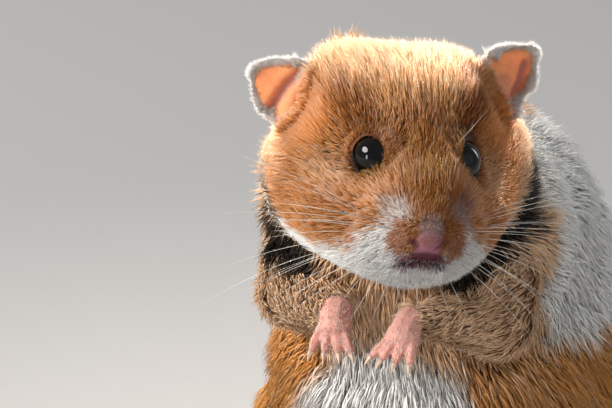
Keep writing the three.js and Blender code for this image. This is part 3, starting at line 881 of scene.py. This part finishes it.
def capped_tube(rings, around):
    """The triangles of a closed tube: rings of points in order, then the middle of each end."""
    turn = np.arange(around)
    after = (turn + 1) % around
    base, tip, last = rings * around, rings * around + 1, (rings - 1) * around
    return np.concatenate([
        between_rings(rings, around),
        np.stack([np.full(around, base), after, turn], -1),
        np.stack([np.full(around, tip), last + turn, last + after], -1)])


for side in ("left", "right"):
    out = (GAZE_WAY * [1 if side == "left" else -1, 1, 1]) @ head_axes.T
    across = unit(np.cross(out, [0, 0, 1.0]))
    above = np.cross(across, out)
    theta = np.linspace(0, math.pi, EYE_ROWS + 2)[1:-1]
    phi = np.linspace(0, 2 * math.pi, EYE_COLUMNS, endpoint=False)
    t, p = (v.reshape(-1, 1) for v in np.meshgrid(theta, phi, indexing="ij"))
    dome = EYE_RADIUS * (1 + 0.01 * np.exp(-(t / 0.62) ** 2))
    ball = EYES[side] + dome * (np.cos(t) * out + np.sin(t) * (np.cos(p) * across + np.sin(p) * above))
    poles = EYES[side] + np.array([out * EYE_RADIUS * 1.01, -out * EYE_RADIUS])
    ball_mesh = mesh_of(f"{side}_eyeball", np.concatenate([ball, poles]),
                        capped_tube(EYE_ROWS, EYE_COLUMNS)[:, ::-1])
    eyeball = show(f"{side}_eyeball", ball_mesh, eye_glass)
    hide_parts(f"{side}_eye")


# THE CLAWS. Grown horn, a little translucent and dully polished by wear, in two pale tones that
# mingle in a grain about 0.3 mm wide. Each is rooted in the skin of its digit.
horn, tree, end = fresh("claw_horn")
place = add(tree, "ShaderNodeTexCoord")
grain = add(tree, "ShaderNodeTexNoise", {"Scale": 3 / MM, "Detail": 3}, {"Vector": place.outputs["Object"]})
shade = add(tree, "ShaderNodeMix", {
    "data_type": "RGBA", 6: (*tint("#B58F78"), 1), 7: (*tint("#E2CDB8"), 1),
}, {0: grain.outputs["Fac"]})
relief = add(tree, "ShaderNodeBump", {"Strength": 0.2, "Distance": 0.05 * MM},
             {"Height": grain.outputs["Fac"]})
claw = add(tree, "ShaderNodeBsdfPrincipled", {
    "Roughness": 0.35, "IOR": 1.54, "Subsurface Weight": 0.2, "Subsurface Scale": 0.6 * MM,
}, {"Base Color": shade.outputs[2], "Normal": relief.outputs[0]})
tree.links.new(claw.outputs[0], end.inputs["Surface"])
for name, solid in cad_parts.items():
    if "claw" in name:
        solid.data.materials.clear()
        solid.data.materials.append(horn)


# THE WHISKERS. Stiff tapering bristles in rows on the muzzle pads, a pair over each eye and a
# short fan under the chin, dark at the base and white beyond, each a drawn-out tube.
bristle, tree, end = fresh("whisker")
along = add(tree, "ShaderNodeAttribute", {"attribute_name": "along"})
fade = add(tree, "ShaderNodeMapRange", {"From Min": 0.1, "From Max": 0.4},
           {"Value": along.outputs["Fac"]})
shade = add(tree, "ShaderNodeMix", {
    "data_type": "RGBA", 6: (*tint("#5B4A40"), 1), 7: (*tint("#F4EDE2"), 1),
}, {0: fade.outputs[0]})
stiff = add(tree, "ShaderNodeBsdfPrincipled", {"Roughness": 0.35, "IOR": 1.55},
            {"Base Color": shade.outputs[2]})
tree.links.new(stiff.outputs[0], end.inputs["Surface"])

hide_tree = BVHTree.FromPolygons(points.tolist(), hide_triangles.tolist())
STEPS, SIDES = 12, 5
tubes, alongs = [], []
whisker_rng = np.random.default_rng(21)


def whisker(start, way, long, thick, droop):
    """One bristle from a place on the hide, given in the head's axes, bending down as it goes."""
    root = np.array(hide_tree.find_nearest(out_of_head(start).tolist())[0])
    way = unit(np.array(way, float) @ head_axes.T)
    t = np.linspace(0, 1, STEPS)[:, None]
    line = root - way * 0.4 + way * t * long + np.array([0, 0, -1.0]) * droop * long * t ** 2
    across = unit(np.cross(way, [0, 0, 1.0]))
    above = np.cross(across, way)
    angle = np.linspace(0, 2 * math.pi, SIDES, endpoint=False)
    section = np.cos(angle)[:, None] * across + np.sin(angle)[:, None] * above
    fat = (thick * (1 - t ** 1.3 * 0.85))[:, :, None] / 2
    ring = line[:, None, :] + section[None] * fat
    spots = np.concatenate([ring.reshape(-1, 3), line[:1], line[-1:]])
    tubes.append((spots, capped_tube(STEPS, SIDES)))
    alongs.append(np.concatenate([np.repeat(t[:, 0], SIDES), [0, 1]]))


for side in (1, -1):
    for row in range(4):
        for place_in_row in range(5):
            back = place_in_row / 4
            start = (side * (5.0 + 2.6 * back), -11.0 + 3.2 * back, -4.6 - 1.5 * row)
            way = (side * (1.0 + whisker_rng.normal(0, 0.06)),
                   -0.15 + 0.55 * back + whisker_rng.normal(0, 0.08),
                   0.28 - 0.26 * row + whisker_rng.normal(0, 0.05))
            whisker(start, way, whisker_rng.uniform(13, 20) + 3 * back, 0.08, 0.10 + 0.05 * row)
    for k in range(2):
        over_eye = (side * (5.2 + 1.6 * k), -1.0 + 1.5 * k, 4.2)
        whisker(over_eye, (side * 0.35, 0.1, 1.0), 5 + 1.5 * k, 0.045, 0.15)
    for k in range(4):
        on_chin = (side * (1.0 + 1.5 * k), -9.5 + 0.6 * k, -13.0)
        whisker(on_chin, (side * (0.15 + 0.2 * k), -0.5, -1.0), 7 + k, 0.07, 0.0)
spots, faces, _ = joined(tubes)
whisker_mesh = mesh_of("whiskers", spots, faces)
carry(whisker_mesh, "along", np.concatenate(alongs))
show("whiskers", whisker_mesh, bristle)


# THE STUDIO. A floor of pale, matt paper with a tooth about 3 mm wide, under soft daylight from a
# wide bank and a low lamp on the camera's left, and a fill on its right. Warm lamps behind light
# the tips of the fur, the left ear and the right cheek, and a cool tall one the left flank.
backing, tree, end = fresh("studio_floor")
place = add(tree, "ShaderNodeTexCoord")
tooth = add(tree, "ShaderNodeTexNoise", {"Scale": 0.3 / MM, "Detail": 3},
            {"Vector": place.outputs["Object"]})
relief = add(tree, "ShaderNodeBump", {"Strength": 0.05, "Distance": 0.5 * MM},
             {"Height": tooth.outputs["Fac"]})
paper = add(tree, "ShaderNodeBsdfPrincipled", {
    "Base Color": (*tint("#B9B7B5"), 1), "Roughness": 0.8}, {"Normal": relief.outputs[0]})
tree.links.new(paper.outputs[0], end.inputs["Surface"])
bpy.ops.mesh.primitive_plane_add(size=6, location=(0, 0, 0))
floor = bpy.context.object
floor.name = "floor"
floor.data.materials.append(backing)

# The camera stands this far round and above, in degrees, and this far off, in mm.
VIEW_TURN, VIEW_RISE, VIEW_FAR = 19, 18, 400
FRAME_WIDE = 88.13        # what the frame takes in at the eyes, in mm
FILM_WIDE = 36
a, e = math.radians(VIEW_TURN), math.radians(VIEW_RISE)
view_back = np.array([math.sin(a) * math.cos(e), -math.cos(a) * math.cos(e), math.sin(e)])
view_right = np.array([math.cos(a), math.sin(a), 0])
view_up = np.cross(view_back, view_right)
subject = between_eyes - 15.91 * view_right - 6.78 * view_up


def aim(thing, place_mm, target_mm):
    """Puts a camera or a lamp at a place and points it at a target, both in mm."""
    thing.location = place_mm * MM
    thing.rotation_mode = "QUATERNION"
    thing.rotation_quaternion = Vector(target_mm - place_mm).to_track_quat("-Z", "Y")


camera = bpy.data.objects.new("camera", bpy.data.cameras.new("camera"))
bpy.context.scene.collection.objects.link(camera)
bpy.context.scene.camera = camera
camera.data.sensor_width = FILM_WIDE
camera.data.lens = FILM_WIDE * VIEW_FAR / FRAME_WIDE
camera.data.clip_start, camera.data.clip_end = 0.01, 10
aim(camera, between_eyes + view_back * VIEW_FAR, subject)


def lamp(name, place_mm, size_mm, watts, colour, beam=180, tall=1, target=None):
    """A soft lamp that shines at the throat or a target, its beam this many degrees wide."""
    light = bpy.data.lights.new(name, "AREA")
    light.shape, light.energy, light.color = "ELLIPSE", watts, colour
    light.size, light.size_y = size_mm * MM, size_mm * tall * MM
    light.spread = math.radians(beam)
    thing = bpy.data.objects.new(name, light)
    bpy.context.scene.collection.objects.link(thing)
    aim(thing, np.array(place_mm, float), throat if target is None else target)


def by_view(right, up, back):
    """A place so far right, up and towards the camera from the head, in mm."""
    towards = unit(view_back * [1, 1, 0])
    return between_eyes + right * view_right + up * np.array([0, 0, 1.0]) + back * towards


WARM = (1.0, 0.93, 0.84)
throat = between_eyes - [0, -10, 15]
lamp("bank", by_view(-1530, 1110, 500), 1250, 50.0, (1.0, 0.97, 0.93), 180, 0.64)
lamp("low_bank", by_view(-1000, 170, 1020), 240, 4.2, (0.96, 0.98, 1.0), 180, 2.2)
lamp("fill", by_view(1250, 450, 850), 1700, 2.3, (0.93, 0.96, 1.0))
lamp("rim", by_view(-160, 290, -420), 200, 0.21, WARM, 32)
lamp("ear_rim", by_view(45, 95, -160), 40, 0.0055, WARM, 10, 1, middle("left_ear"))
lamp("cheek_rim", by_view(-100, 60, -170), 26, 0.0016, WARM, 6, 1, out_of_head([-17, 6, -7]))
lamp("side_rim", by_view(470, 150, -300), 110, 0.07, (0.88, 0.94, 1.0), 50, 4)

world = bpy.data.worlds.new("studio")
bpy.context.scene.world = world
world.use_nodes = True
sky = world.node_tree.nodes["Background"]
sky.inputs["Color"].default_value = (0.78, 0.82, 0.88, 1)
sky.inputs["Strength"].default_value = 0.38
bpy.context.scene.view_settings.view_transform = "Standard"
